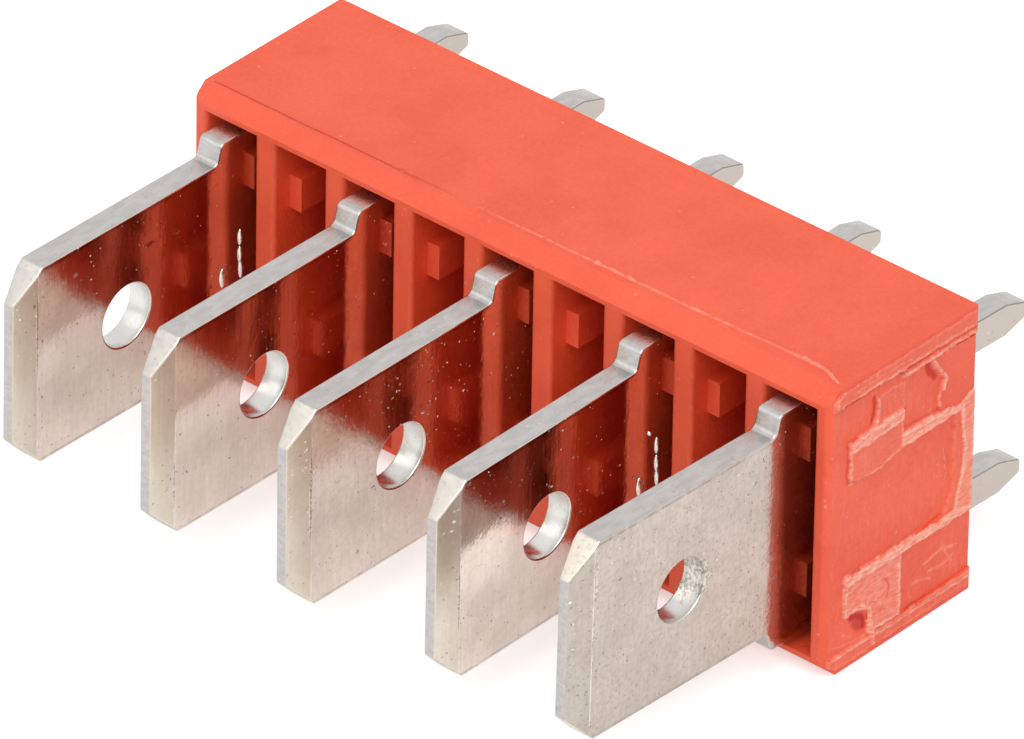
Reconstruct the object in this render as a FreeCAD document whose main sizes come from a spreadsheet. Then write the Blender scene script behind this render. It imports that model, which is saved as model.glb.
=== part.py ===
import FreeCAD, Part
import os

import Sketcher
from FreeCAD import Vector

# A five way solder header: an open-fronted moulded housing that holds five stamped blades.
# The origin is the centre of the face that seats on the circuit board. +X runs along the row,
# +Y points into the board, along the solder pins, and +Z is up as the part lies on its long side.

NODE_FOLDER = "parts"

SIZES = [
    # Row
    ("ways", 5, "number of blades"),
    ("pitch", 5.0, "distance between neighbouring blades"),
    # Housing
    ("depth", 6.1, "housing, from the open front to the board face"),
    ("long_wall", 0.59, "thickness of the two long walls, above and below the open front"),
    ("shoulder_clear", 0.24, "clearance between a blade's shoulder and the long wall"),
    ("front_bevel_drop", 0.44, "bevel along the long front edges, across the height"),
    ("front_bevel_run", 0.48, "the same bevel, along the depth"),
    ("blade_bay", 1.75, "width of the bay that holds a blade"),
    ("divider", 0.73, "thickness of each upright wall"),
    ("end_wall", 0.5, "thickness of the wall at each end of the row"),
    ("bay_depth", 3.6, "depth of a blade's bay, down to the floor that seats the blade"),
    ("gap_depth", 3.05, "depth of the hollow between two bays, over its full height"),
    ("core_tall", 3.3, "height of the deeper middle of that hollow"),
    ("board_web", 0.75, "wall left behind the deeper middle"),
    ("edge_round", 0.14, "rounding of the upright front edges"),
    ("corner_round", 0.2, "rounding of the two outer front corners"),
    # Ribs on the upright walls
    ("rib_setback", 0.65, "front of a rib, behind the open front"),
    ("rib_long", 2.4, "length of a rib along the depth"),
    ("rib_low", 1.65, "inner face of a rib, from the middle height"),
    ("rib_tall", 1.08, "height of a rib"),
    ("rib_play", 0.055, "clearance between a rib and the blade's face"),
    # Torn end, where the row was broken off a longer moulding
    ("tear_rise", 0.06, "how far the torn walls stand out from the end"),
    ("tear_lip", 0.06, "how far the torn long walls stand out from the end"),
    ("tear_bar", 0.3, "thickness of the torn bars beside the deeper middle"),
    ("tear_lean", 0.12, "unevenness of the torn outline"),
    ("tear_notch", 0.7, "width of the notch in the lower torn rib"),
    # Blade
    ("blade_wide", 6.3, "width of the blade"),
    ("blade_thick", 0.8, "sheet thickness"),
    ("blade_reach", 8.95, "blade length in front of the housing"),
    ("tip_thick", 0.32, "thickness at the very tip"),
    ("tip_bevel", 0.78, "length of the bevel to the tip"),
    ("tip_cut", 0.96, "corner cut at the tip"),
    ("hole_wide", 1.9, "diameter of the latch hole"),
    ("hole_setback", 4.36, "latch hole centre, from the tip"),
    ("shoulder_setback", 7.97, "foot of the shoulder, from the tip"),
    ("shoulder_rise", 0.62, "step of the shoulder on each side"),
    ("shoulder_run", 0.16, "slope of that step along the blade"),
    ("shoulder_round", 0.2, "rounding of the shoulder's corners"),
    ("seat_play", 0.02, "clearance between the shoulders and the bay's floor"),
    # Solder pins
    ("pin_wide", 1.0, "width of a solder pin"),
    ("pin_spread", 5.08, "distance between the two pins of a blade"),
    ("pin_reach", 3.3, "pin length beyond the board face"),
    ("pin_taper", 0.9, "length of the pin's tapered end"),
    ("pin_tip", 0.42, "width at the pin's very end"),
    ("pin_round", 0.14, "rounding of the pin's end"),
    ("slot_play", 0.04, "clearance of a pin in its slot, all round"),
]

# Places that several pieces share, worked out from the sizes above
SHOULDER_HALF = "(Sizes.blade_wide / 2 + Sizes.shoulder_rise)"
OPENING_HALF = f"({SHOULDER_HALF} + Sizes.shoulder_clear)"
HALF_TALL = f"({OPENING_HALF} + Sizes.long_wall)"
BODY_LONG = "((Sizes.ways - 1) * Sizes.pitch + Sizes.blade_bay + 2 * Sizes.end_wall)"
FIRST_BLADE = "(-(Sizes.ways - 1) * Sizes.pitch / 2)"
FIRST_GAP = f"({FIRST_BLADE} + Sizes.pitch / 2)"
GAP_WIDE = "(Sizes.pitch - Sizes.blade_bay - 2 * Sizes.divider)"
RIB_STAND = "((Sizes.blade_bay - Sizes.blade_thick) / 2 - Sizes.rib_play)"
RIB_TOP = "(Sizes.rib_low + Sizes.rib_tall)"
RIB_FRONT = "(Sizes.rib_setback - Sizes.depth)"
RIB_BACK = f"({RIB_FRONT} + Sizes.rib_long)"
BAY_FLOOR = "(Sizes.bay_depth - Sizes.depth)"
CORE_HALF = "(Sizes.core_tall / 2)"
TIP = "(-(Sizes.depth + Sizes.blade_reach))"

doc = FreeCAD.newDocument("pcb_tab_terminal")


def fill_sheet():
    """Write every driving dimension into the sheet, with its name and its meaning."""
    sizes = doc.addObject("Spreadsheet::Sheet", "Sizes")
    for row, (name, value, meaning) in enumerate(SIZES, start=1):
        sizes.set(f"A{row}", name)
        sizes.set(f"B{row}", str(value))
        sizes.setAlias(f"B{row}", name)
        sizes.set(f"C{row}", meaning)
    doc.recompute()
    return sizes


sheet = fill_sheet()


def worked_out(expression):
    """The present value of an expression on the sheet."""
    return float(sheet.evalExpression(expression))


def origin_feature(body, role):
    """The body's own origin plane or axis with this role."""
    return next(feature for feature in body.Origin.OriginFeatures if feature.Role == role)


def new_sketch(body, name, plane, offset=None):
    """A sketch on one of the body's origin planes, moved along the plane's normal."""
    sketch = body.newObject("Sketcher::SketchObject", name)
    sketch.AttachmentSupport = [(origin_feature(body, plane), "")]
    sketch.MapMode = "FlatFace"
    if offset:
        sketch.setExpression("AttachmentOffset.Base.z", offset)
    return sketch


def bind(sketch, constraint, expression):
    """Add a dimension to the sketch and tie it to the sheet."""
    sketch.setExpression(f"Constraints[{sketch.addConstraint(constraint)}]", expression)


def add_outline(sketch, corners):
    """Draw a closed outline whose corners are pairs of expressions."""
    places = [Vector(worked_out(across), worked_out(up), 0) for across, up in corners]
    lines = []
    for start, end in zip(places, places[1:] + places[:1]):
        lines.append(sketch.addGeometry(Part.LineSegment(start, end), False))
    for line, following in zip(lines, lines[1:] + lines[:1]):
        sketch.addConstraint(Sketcher.Constraint("Coincident", line, 2, following, 1))
    for line, place, (across, up) in zip(lines, places, corners):
        bind(sketch, Sketcher.Constraint("DistanceX", -1, 1, line, 1, place.x), across)
        bind(sketch, Sketcher.Constraint("DistanceY", -1, 1, line, 1, place.y), up)


def add_box_outline(sketch, left, right, low, high):
    """Draw a rectangle between four expressions."""
    add_outline(sketch, [(left, low), (right, low), (right, high), (left, high)])


def volume_now(body):
    """The body's volume so far."""
    doc.recompute()
    return body.Shape.Volume if body.Tip else 0.0


def add_pad(body, name, sketch, length, both_ways=False, reverse=False):
    """Extrude a sketch and make sure that it added material."""
    before = volume_now(body)
    pad = body.newObject("PartDesign::Pad", name)
    pad.Profile = sketch
    pad.SideType = "Symmetric" if both_ways else "One side"
    pad.Reversed = reverse
    pad.setExpression("Length", length)
    if volume_now(body) <= before:
        raise RuntimeError(f"{name} adds nothing")
    return pad


def add_pocket(body, name, sketch, depth=None, both_ways=False):
    """Cut a sketch to a depth, or right through, and make sure that it removed material."""
    before = volume_now(body)
    pocket = body.newObject("PartDesign::Pocket", name)
    pocket.Profile = sketch
    pocket.SideType = "Symmetric" if both_ways else "One side"
    if depth:
        pocket.setExpression("Length", depth)
    else:
        pocket.Type = "ThroughAll"
    if volume_now(body) >= before:
        raise RuntimeError(f"{name} removes nothing")
    return pocket


def repeat_along_row(body, name, feature, count):
    """Repeat a feature once for each place along the row."""
    pattern = body.newObject("PartDesign::LinearPattern", name)
    pattern.Originals = [feature]
    pattern.Direction = (origin_feature(body, "X_Axis"), [""])
    pattern.setExpression("Length", f"({count} - 1) * Sizes.pitch")
    pattern.setExpression("Occurrences", count)
    body.Tip = pattern
    doc.recompute()
    return pattern


def straight_edges(shape, direction, accept):
    """Names of the straight edges along a direction whose middle is accepted."""
    names = []
    for number, edge in enumerate(shape.Edges, start=1):
        if not isinstance(edge.Curve, Part.Line):
            continue
        if abs(edge.Curve.Direction.dot(direction)) < 0.999:
            continue
        if accept(edge.CenterOfMass):
            names.append(f"Edge{number}")
    return names


def add_rounding(body, name, radius, direction, accept):
    """Round the body's straight edges that run along a direction and are accepted."""
    doc.recompute()
    base = body.Tip
    names = straight_edges(base.Shape, direction, accept)
    if not names:
        raise RuntimeError(f"{name} finds no edge")
    rounding = body.newObject("PartDesign::Fillet", name)
    rounding.Base = (base, names)
    rounding.setExpression("Radius", radius)
    doc.recompute()
    return rounding


def near(value, other):
    """Whether two places agree."""
    return abs(value - other) < 1e-4


def shell_of_housing(housing):
    """The outer block, with a bevel along its two long front edges."""
    sketch = new_sketch(housing, "EndOutline", "YZ_Plane")
    bevel_end = "Sizes.front_bevel_run - Sizes.depth"
    add_outline(sketch, [
        (bevel_end, f"-{HALF_TALL}"),
        ("0", f"-{HALF_TALL}"),
        ("0", HALF_TALL),
        (bevel_end, HALF_TALL),
        ("-Sizes.depth", f"{HALF_TALL} - Sizes.front_bevel_drop"),
        ("-Sizes.depth", f"Sizes.front_bevel_drop - {HALF_TALL}"),
    ])
    add_pad(housing, "Block", sketch, BODY_LONG, both_ways=True)
    front = -worked_out("Sizes.depth")
    add_rounding(housing, "OuterCorners", "Sizes.corner_round", Vector(0, 0, 1),
                 lambda middle: near(middle.y, front))


def blade_bays(housing):
    """One open bay for each blade, all the same, at the row's pitch."""
    sketch = new_sketch(housing, "BayOutline", "XZ_Plane", "Sizes.depth")
    add_box_outline(sketch, f"{FIRST_BLADE} - Sizes.blade_bay / 2", f"{FIRST_BLADE} + Sizes.blade_bay / 2",
                    f"-{OPENING_HALF}", OPENING_HALF)
    bay = add_pocket(housing, "Bay", sketch, "Sizes.bay_depth")
    repeat_along_row(housing, "Bays", bay, "Sizes.ways")


def gaps_between_bays(housing):
    """A hollow between each two bays, with a deeper middle that leaves a thin web at the board."""
    left = f"{FIRST_GAP} - {GAP_WIDE} / 2"
    right = f"{FIRST_GAP} + {GAP_WIDE} / 2"
    sketch = new_sketch(housing, "GapOutline", "XZ_Plane", "Sizes.depth")
    add_box_outline(sketch, left, right, f"-{OPENING_HALF}", OPENING_HALF)
    gap = add_pocket(housing, "Gap", sketch, "Sizes.gap_depth")
    repeat_along_row(housing, "Gaps", gap, "(Sizes.ways - 1)")

    sketch = new_sketch(housing, "CoreOutline", "XZ_Plane", "Sizes.depth - Sizes.gap_depth")
    add_box_outline(sketch, left, right, f"-{CORE_HALF}", CORE_HALF)
    core = add_pocket(housing, "Core", sketch, "Sizes.depth - Sizes.gap_depth - Sizes.board_web")
    repeat_along_row(housing, "Cores", core, "(Sizes.ways - 1)")


def wall_ribs(housing):
    """Short ribs, above and below, that stand out on both sides of every upright wall.

    In a bay they hold the blade's two faces, so their height follows the sheet thickness.
    """
    gap_left = f"{FIRST_GAP} - {GAP_WIDE} / 2"
    gap_right = f"{FIRST_GAP} + {GAP_WIDE} / 2"
    levels = [(f"-{RIB_TOP}", "-Sizes.rib_low"), ("Sizes.rib_low", RIB_TOP)]

    sketch = new_sketch(housing, "RibOutline", "XZ_Plane", f"-{RIB_FRONT}")
    for low, high in levels:
        add_box_outline(sketch, f"{gap_left} - Sizes.divider - {RIB_STAND}", f"{gap_left} + {RIB_STAND}",
                        low, high)
        add_box_outline(sketch, f"{gap_right} - {RIB_STAND}", f"{gap_right} + Sizes.divider + {RIB_STAND}",
                        low, high)
    ribs = add_pad(housing, "Ribs", sketch, "Sizes.rib_long", reverse=True)
    repeat_along_row(housing, "AllRibs", ribs, "(Sizes.ways - 1)")

    sketch = new_sketch(housing, "EndRibOutline", "XZ_Plane", f"-{RIB_FRONT}")
    outer = f"({BODY_LONG} / 2)"
    inner = f"({outer} - Sizes.end_wall)"
    for low, high in levels:
        add_box_outline(sketch, f"-{inner} - Sizes.end_wall / 2", f"-{inner} + {RIB_STAND}", low, high)
        add_box_outline(sketch, f"{inner} - {RIB_STAND}", f"{inner} + Sizes.end_wall / 2", low, high)
    add_pad(housing, "EndRibs", sketch, "Sizes.rib_long", reverse=True)


def pin_slots(housing):
    """Two slots behind each bay, through the floor that seats the blade."""
    sketch = new_sketch(housing, "SlotOutline", "XZ_Plane", f"-{BAY_FLOOR}")
    half_wide = "(Sizes.blade_thick / 2 + Sizes.slot_play)"
    half_tall = "(Sizes.pin_wide / 2 + Sizes.slot_play)"
    for side in ("-", ""):
        centre = f"{side}Sizes.pin_spread / 2"
        add_box_outline(sketch, f"{FIRST_BLADE} - {half_wide}", f"{FIRST_BLADE} + {half_wide}",
                        f"{centre} - {half_tall}", f"{centre} + {half_tall}")
    slots = add_pocket(housing, "Slots", sketch)
    repeat_along_row(housing, "AllSlots", slots, "Sizes.ways")


def front_edges(housing):
    """Soft upright edges at the open front, as the mould leaves them."""
    front = -worked_out("Sizes.depth")
    inside = worked_out(f"{BODY_LONG} / 2 - Sizes.end_wall") + 1e-3
    add_rounding(housing, "SoftEdges", "Sizes.edge_round", Vector(0, 0, 1),
                 lambda middle: near(middle.y, front) and abs(middle.x) < inside)


def torn_end(housing):
    """What is left of the next walls of the longer moulding, on the end at +X.

    The long walls end in a rough lip. Between them one torn outline takes in the rib's root,
    the bars and web round the deeper middle, and the lower rib's root with its notch.
    """
    end_face = f"{BODY_LONG} / 2"
    bevel_end = "Sizes.front_bevel_run - Sizes.depth"

    lips = new_sketch(housing, "TornLipOutline", "YZ_Plane", end_face)
    for side in ("", "-"):
        add_outline(lips, [
            (bevel_end, f"{side}{HALF_TALL}"),
            ("0", f"{side}{HALF_TALL}"),
            ("0", f"{side}({OPENING_HALF} - Sizes.tear_lean)"),
            (f"{RIB_FRONT}", f"{side}({OPENING_HALF} + Sizes.tear_lean / 2)"),
            ("Sizes.corner_round - Sizes.depth", f"{side}({OPENING_HALF})"),
            ("Sizes.corner_round - Sizes.depth", f"{side}({HALF_TALL} - Sizes.front_bevel_drop)"),
        ])
    add_pad(housing, "TornLips", lips, "Sizes.tear_lip")

    lean = "Sizes.tear_lean"
    web = "(-Sizes.board_web)"
    root_front = f"({RIB_FRONT} + 2 * {lean})"
    bar_inner = f"({CORE_HALF} - Sizes.tear_bar)"
    notch_front = f"({root_front} + 2 * {lean})"
    notch_back = f"({notch_front} + Sizes.tear_notch)"
    notch_top = f"-({RIB_TOP} + 2 * {lean})"
    floor = f"-({OPENING_HALF} - {lean})"
    walls = new_sketch(housing, "TornWallOutline", "YZ_Plane", end_face)
    add_outline(walls, [
        (root_front, bar_inner),
        (f"{root_front} + {lean} / 3", f"{RIB_TOP}"),
        (f"{RIB_BACK} + {lean}", f"{RIB_TOP} - {lean} / 2"),
        (f"{RIB_BACK}", CORE_HALF),
        (f"2 * {web} - {lean} / 2", CORE_HALF),
        (f"2 * {web} + {lean}", f"{RIB_TOP} + {lean}"),
        (f"2 * {web} - 3 * {lean}", f"{OPENING_HALF} - 2 * {lean}"),
        (f"-{lean} / 2", f"{OPENING_HALF} - 3 * {lean}"),
        (f"-{lean} / 3", f"-{CORE_HALF} - Sizes.tear_bar"),
        (f"{RIB_BACK}", f"-{CORE_HALF} - 1.5 * Sizes.tear_bar"),
        (f"{RIB_BACK} + {lean} / 3", floor),
        (notch_back, floor),
        (f"{notch_back} - {lean}", notch_top),
        (notch_front, notch_top),
        (f"{root_front} - {lean} / 2", f"-{RIB_TOP} + {lean}"),
        (f"{root_front} + 2 * {lean}", f"-{CORE_HALF} + {lean} / 3"),
        (f"{RIB_BACK}", f"-{CORE_HALF} - {lean}"),
        (f"{web} - 3 * {lean}", f"-{CORE_HALF} + {lean}"),
        (web, f"-{bar_inner} + 3 * {lean}"),
        (f"{web} - {lean} / 2", bar_inner),
        (f"{RIB_BACK}", f"{bar_inner} - {lean}"),
        (f"{RIB_BACK} - 1.2 * Sizes.rib_tall", f"{bar_inner} - 1.5 * {lean}"),
    ])
    add_pad(housing, "TornWalls", walls, "Sizes.tear_rise")


def make_housing():
    """The moulded housing, one solid."""
    housing = doc.addObject("PartDesign::Body", "housing")
    housing.Label = "housing"
    shell_of_housing(housing)
    blade_bays(housing)
    gaps_between_bays(housing)
    wall_ribs(housing)
    pin_slots(housing)
    front_edges(housing)
    torn_end(housing)
    return housing


def blade_outline(blade):
    """The stamped outline: blade, shoulders and two solder pins, symmetric about mid height."""
    seat = f"({BAY_FLOOR} - Sizes.seat_play)"
    foot = f"({TIP} + Sizes.shoulder_setback)"
    half = "Sizes.blade_wide / 2"
    pin_low = "(Sizes.pin_spread - Sizes.pin_wide) / 2"
    pin_high = "(Sizes.pin_spread + Sizes.pin_wide) / 2"
    tip_low = "(Sizes.pin_spread - Sizes.pin_tip) / 2"
    tip_high = "(Sizes.pin_spread + Sizes.pin_tip) / 2"
    taper = "(Sizes.pin_reach - Sizes.pin_taper)"
    upper = [
        (TIP, f"{half} - Sizes.tip_cut"),
        (f"{TIP} + Sizes.tip_cut", half),
        (foot, half),
        (f"{foot} + Sizes.shoulder_run", SHOULDER_HALF),
        (seat, SHOULDER_HALF),
        (seat, pin_high),
        (taper, pin_high),
        ("Sizes.pin_reach", tip_high),
        ("Sizes.pin_reach", tip_low),
        (taper, pin_low),
        (seat, pin_low),
    ]
    lower = [(along, f"-({height})") for along, height in reversed(upper)]
    sketch = new_sketch(blade, f"{blade.Name}_outline", "YZ_Plane")
    add_outline(sketch, upper + lower)
    add_pad(blade, f"{blade.Name}_sheet", sketch, "Sizes.blade_thick", both_ways=True)


def blade_roundings(blade):
    """Rounded shoulders and pin ends, as the stamping die leaves them."""
    foot = worked_out(f"{TIP} + Sizes.shoulder_setback")
    step = worked_out(f"{TIP} + Sizes.shoulder_setback + Sizes.shoulder_run")
    end = worked_out("Sizes.pin_reach")
    across = Vector(1, 0, 0)
    add_rounding(blade, f"{blade.Name}_shoulders", "Sizes.shoulder_round", across,
                 lambda middle: near(middle.y, foot) or near(middle.y, step))
    add_rounding(blade, f"{blade.Name}_pin_ends", "Sizes.pin_round", across,
                 lambda middle: near(middle.y, end))


def blade_tip(blade):
    """A bevel on both faces, so that the blade enters its socket easily."""
    sketch = new_sketch(blade, f"{blade.Name}_bevel_outline", "XY_Plane")
    for side in ("", "-"):
        add_outline(sketch, [
            (f"{side}Sizes.tip_thick / 2", TIP),
            (f"{side}Sizes.blade_thick / 2", f"{TIP} + Sizes.tip_bevel"),
            (f"{side}Sizes.blade_thick", f"{TIP} + Sizes.tip_bevel"),
            (f"{side}Sizes.blade_thick", f"{TIP} - Sizes.tip_bevel"),
            (f"{side}Sizes.tip_thick / 2", f"{TIP} - Sizes.tip_bevel"),
        ])
    add_pocket(blade, f"{blade.Name}_bevel", sketch, both_ways=True)


def blade_hole(blade):
    """The round hole that a socket's latch drops into."""
    sketch = new_sketch(blade, f"{blade.Name}_hole_outline", "YZ_Plane")
    along = f"{TIP} + Sizes.hole_setback"
    centre = Vector(worked_out(along), 0, 0)
    circle = sketch.addGeometry(Part.Circle(centre, Vector(0, 0, 1), worked_out("Sizes.hole_wide / 2")), False)
    bind(sketch, Sketcher.Constraint("DistanceX", -1, 1, circle, 3, centre.x), along)
    bind(sketch, Sketcher.Constraint("Diameter", circle, 2 * worked_out("Sizes.hole_wide / 2")),
         "Sizes.hole_wide")
    sketch.addConstraint(Sketcher.Constraint("PointOnObject", circle, 3, -1))
    add_pocket(blade, f"{blade.Name}_hole", sketch, both_ways=True)


def make_blade(number):
    """One stamped blade, set at its own place along the row."""
    blade = doc.addObject("PartDesign::Body", f"tab_{number}")
    blade.Label = f"tab_{number}"
    blade_outline(blade)
    blade_roundings(blade)
    blade_tip(blade)
    blade_hole(blade)
    blade.setExpression("Placement.Base.x", f"{FIRST_BLADE} + {number - 1} * Sizes.pitch")
    return blade


def check_document(pieces):
    """Stop when a feature failed or a piece isn't one good solid."""
    for thing in doc.Objects:
        if "Invalid" in thing.State or "Error" in thing.State:
            raise RuntimeError(f"{thing.Name} is {thing.State}")
    for piece in pieces:
        shape = piece.Shape
        if shape.isNull() or not shape.isValid() or len(shape.Solids) != 1:
            raise RuntimeError(f"{piece.Label} isn't one valid solid")


def write_pieces(pieces):
    """Write each piece to its own file."""
    os.makedirs(NODE_FOLDER, exist_ok=True)
    for piece in pieces:
        piece.Shape.exportStep(f"{NODE_FOLDER}/{piece.Label}.step")
        print(piece.Label, "volume", round(piece.Shape.Volume, 3), "mm3")


pieces = [make_housing()]
for number in range(1, int(worked_out("Sizes.ways")) + 1):
    pieces.append(make_blade(number))
doc.recompute()
check_document(pieces)
write_pieces(pieces)
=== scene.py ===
import math

import bmesh
import bpy
import numpy as np
from mathutils import Matrix, Vector, noise


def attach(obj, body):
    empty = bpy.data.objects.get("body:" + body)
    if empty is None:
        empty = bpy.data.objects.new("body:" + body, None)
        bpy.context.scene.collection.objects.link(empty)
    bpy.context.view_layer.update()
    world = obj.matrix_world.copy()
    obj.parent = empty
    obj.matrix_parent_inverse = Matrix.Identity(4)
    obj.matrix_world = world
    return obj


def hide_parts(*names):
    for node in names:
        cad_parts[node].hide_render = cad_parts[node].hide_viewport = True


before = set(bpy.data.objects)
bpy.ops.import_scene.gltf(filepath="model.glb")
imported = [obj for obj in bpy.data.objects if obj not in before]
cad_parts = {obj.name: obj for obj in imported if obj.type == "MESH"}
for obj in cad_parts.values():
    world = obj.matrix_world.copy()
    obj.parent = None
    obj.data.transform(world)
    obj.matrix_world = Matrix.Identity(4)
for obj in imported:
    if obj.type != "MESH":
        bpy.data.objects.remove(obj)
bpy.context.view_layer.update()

# Lengths are in millimetres unless a comment says otherwise, and MM turns them into metres.
# X runs along the row, Y out of the board face, and Z up, as in the CAD.
MM = 0.001
BODY = "root"
BLADES = 5
PITCH = 5.0
END_FACE = 11.375  # x of the torn end
FRONT = -6.1  # y of the housing's open front
HALF_TALL = 4.6  # half the housing's height
OPENING_TOP = 4.01  # z of the opening's upper edge
TIP = -15.05  # y of the blades' tips
CREASE = TIP + 0.79  # y where the bevel of the tip begins
HOLE_Y = -10.69  # y of the latch holes
SAME_PLACE = 0.001  # vertices closer than this are joined


# Helpers for node trees

SOCKETS = {"base_color": "Base Color", "metallic": "Metallic", "roughness": "Roughness",
           "specular": "Specular IOR Level", "normal": "Normal"}


def rgb(red, green, blue):
    """A linear colour with full alpha."""
    return (red, green, blue, 1.0)


class Nodes:
    """Short ways to add nodes to a tree."""

    def __init__(self, tree):
        self.tree = tree

    def add(self, kind, *values, **settings):
        """A node whose inputs, in order, get values or links; None leaves an input alone."""
        node = self.tree.nodes.new(kind)
        for name, value in settings.items():
            setattr(node, name, value)
        for socket, value in zip(node.inputs, values):
            self.give(socket, value)
        return node

    def give(self, socket, value):
        """Link a socket, or set its value."""
        if isinstance(value, bpy.types.NodeSocket):
            self.tree.links.new(value, socket)
        elif value is not None:
            socket.default_value = value

    def sum(self, kind, first, second=0.0):
        """One arithmetic operation."""
        return self.add("ShaderNodeMath", first, second, operation=kind).outputs[0]

    def part(self, source, axis):
        """One coordinate of a vector."""
        return self.add("ShaderNodeSeparateXYZ", source).outputs[axis]

    def step(self, value, low, high, at_low=0.0, at_high=1.0):
        """A soft step from one value to another."""
        node = self.add("ShaderNodeMapRange", value, low, high, at_low, at_high,
                        interpolation_type="SMOOTHSTEP")
        return node.outputs[0]

    def band(self, value, centre, half):
        """1 within half of the centre, and softly 0 outside."""
        away = self.sum("ABSOLUTE", self.sum("SUBTRACT", value, centre))
        return self.step(away, half * 0.5, half * 1.5, 1.0, 0.0)

    def blend(self, share, first, second):
        """A mix of two colours."""
        node = self.add("ShaderNodeMix", data_type="RGBA")
        self.give(node.inputs[0], share)
        self.give(node.inputs[6], first)
        self.give(node.inputs[7], second)
        return node.outputs[2]


class Shader(Nodes):
    """One node material. Its textures are placed in millimetres, by the object or by an attribute."""

    def __init__(self, name, attribute=None):
        self.material = bpy.data.materials.new(name)
        self.material.use_nodes = True
        super().__init__(self.material.node_tree)
        self.surface = self.tree.nodes["Principled BSDF"]
        self.coordinates = self.add("ShaderNodeTexCoord")
        self.shake = None
        self.made_cells = {}
        if attribute:
            self.place = self.add("ShaderNodeAttribute", attribute_name=attribute).outputs["Vector"]
        else:
            self.place = self.coordinates.outputs["Object"]
            self.place = self.stretched(1 / MM, 1 / MM, 1 / MM)

    def stretched(self, x, y, z, turn=0.0):
        """The place, turned about X and then scaled along each axis."""
        turned = self.add("ShaderNodeVectorRotate", self.place, rotation_type="X_AXIS")
        turned.inputs["Angle"].default_value = turn
        return self.add("ShaderNodeVectorMath", turned.outputs[0], (x, y, z), operation="MULTIPLY").outputs[0]

    def noise(self, scale, detail=2.0, roughness=0.5, place=None):
        """Noise from 0 to 1, with that many cells to a millimetre."""
        node = self.add("ShaderNodeTexNoise")
        self.give(node.inputs["Vector"], place or self.place)
        node.inputs["Scale"].default_value = scale
        node.inputs["Detail"].default_value = detail
        node.inputs["Roughness"].default_value = roughness
        return node.outputs["Fac"]

    def cells(self, scale):
        """Cells shaken out of round, made once for each scale: distance from the middle, and colour."""
        if scale not in self.made_cells:
            if not self.shake:
                node = self.add("ShaderNodeTexNoise", self.place, noise_dimensions="3D")
                node.inputs["Scale"].default_value = 12.0
                node.inputs["Detail"].default_value = 0.0
                self.shake = node.outputs["Color"]
            moved = self.add("ShaderNodeVectorMath", self.shake, (0.55 / scale,) * 3, self.place,
                             operation="MULTIPLY_ADD").outputs[0]
            node = self.add("ShaderNodeTexVoronoi")
            self.give(node.inputs["Vector"], moved)
            node.inputs["Scale"].default_value = scale
            self.made_cells[scale] = node.outputs["Distance"], node.outputs["Color"]
        return self.made_cells[scale]

    def dots(self, scale, radius, rarity, channel):
        """Small dots in some of the cells, at most one to a cell. Each channel picks its own cells."""
        away, colour = self.cells(scale)
        near = self.step(away, radius * 0.6, radius, 1.0, 0.0)
        return self.sum("MULTIPLY", near, self.sum("GREATER_THAN", self.part(colour, channel), rarity))

    def reach(self, y, z, half_y=1.0, half_z=1.0):
        """How far the place is from the point y, z, in shares of the half lengths."""
        moved = self.add("ShaderNodeVectorMath", self.place, (0, -y, -z), operation="ADD")
        shares = self.add("ShaderNodeVectorMath", moved.outputs[0], (0, 1 / half_y, 1 / half_z),
                          operation="MULTIPLY")
        return self.add("ShaderNodeVectorMath", shares.outputs[0], operation="LENGTH").outputs["Value"]

    def bump(self, height, strength, distance, normal=None):
        """Relief: distance is in millimetres."""
        node = self.add("ShaderNodeBump")
        node.inputs["Strength"].default_value = strength
        node.inputs["Distance"].default_value = distance * MM
        self.give(node.inputs["Height"], height)
        self.give(node.inputs["Normal"], normal)
        return node.outputs[0]

    def finish(self, **sockets):
        """Set or link the surface's own sockets, and return the material."""
        for name, value in sockets.items():
            self.give(self.surface.inputs[SOCKETS[name]], value)
        return self.material


# Helpers for meshes


def finished_mesh(build, name):
    """Turn what was built into a mesh."""
    mesh = bpy.data.meshes.new(name)
    build.to_mesh(mesh)
    build.free()
    return mesh


def store(mesh, name, values):
    """Keep a value from 0 to 1 at each vertex; vertices beyond the values get 0."""
    spread = np.zeros(len(mesh.vertices), np.float32)
    spread[:len(values)] = np.clip(values, 0, 1)
    mesh.attributes.new(name, "FLOAT", "POINT").data.foreach_set("value", spread)


def add_piece(mesh, material):
    """Put a finished mesh in the scene as a piece of the object."""
    mesh.materials.append(material)
    piece = bpy.data.objects.new(mesh.name, mesh)
    bpy.context.scene.collection.objects.link(piece)
    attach(piece, BODY)
    return piece


# Plastic

PLASTIC_DEEP = rgb(0.78, 0.070, 0.016)
PLASTIC_PALE = rgb(0.84, 0.090, 0.025)
# Painted shade for the hollows.
PLASTIC_HOLLOW_SHADE = rgb(0.60, 0.029, 0.009)
PLASTIC_WHITENED = rgb(0.94, 0.45, 0.33)
# Painted shade, for the pits of the torn end and the crevices of the flash.
PLASTIC_SHADED = rgb(0.50, 0.012, 0.002)
PLASTIC_SPECK = rgb(0.96, 0.38, 0.28)
PLASTIC_GLOSS = 0.85
HOLLOW_HALF_LONG = 11.2  # |x| and |z| past which the plastic is outside, not in a hollow, and gets no painted shade
HOLLOW_HALF_TALL = 4.1


def mottled_plastic(s, detail):
    """Slow mottling between two oranges."""
    return s.blend(s.step(s.noise(0.5, detail), 0.3, 0.7), PLASTIC_DEEP, PLASTIC_PALE)


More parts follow.
